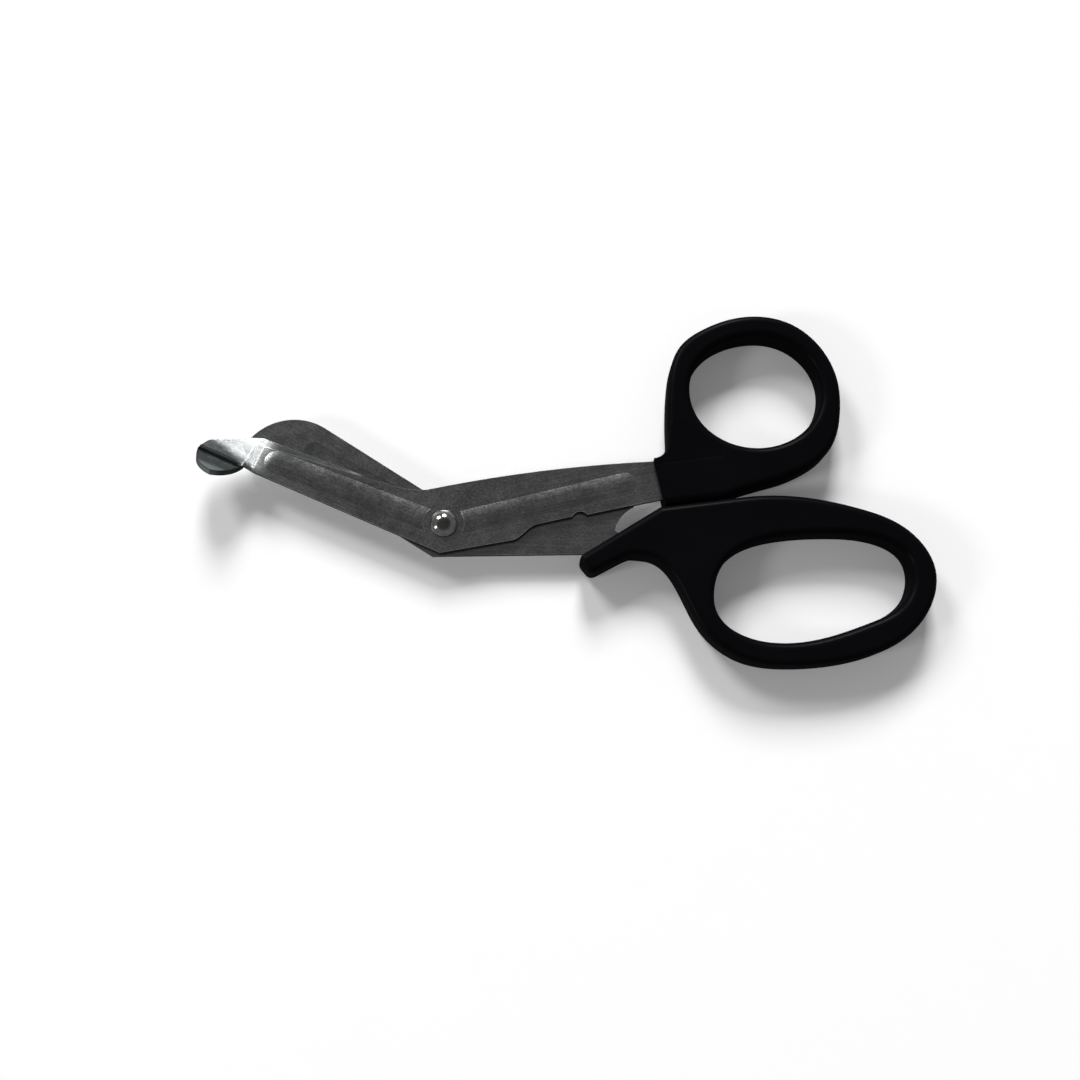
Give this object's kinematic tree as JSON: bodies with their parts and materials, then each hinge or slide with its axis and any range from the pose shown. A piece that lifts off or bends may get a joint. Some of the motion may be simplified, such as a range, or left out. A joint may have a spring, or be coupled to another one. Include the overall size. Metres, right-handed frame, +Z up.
{
  "type": "bandage scissors",
  "caption": "Bandage scissors with angled embossed steel blades, a curled blunt safety foot, a domed pivot rivet and black moulded handles with a thumb ring and a hooked finger loop.",
  "frame": {"origin": "under the middle of the box, on the plane the scissors lie on", "axes": "+X from the safety foot towards the handles, +Y towards the thumb ring, +Z up from the table, out of the rivet's domed head"},
  "size_m": [0.1876, 0.0924, 0.0128],
  "materials": {
    "blade_steel": "tumbled satin stainless steel, polished towards the foot",
    "rivet_steel": "polished",
    "handle_plastic": "fine satin moulded surface"
  },
  "bodies": {
    "finger_side": {"rear_blade": "blade_steel", "finger_handle": "handle_plastic", "pivot_rivet": "rivet_steel"},
    "thumb_side": {"front_blade": "blade_steel", "thumb_handle": "handle_plastic"}
  },
  "joints": [
    {"name": "pivot", "type": "hinge", "parent": "finger_side", "child": "thumb_side", "pos_m": [-0.03036, -0.00943, 0.0045], "axis": [0, 0, 1], "range_deg": [0, 65]}
  ]
}
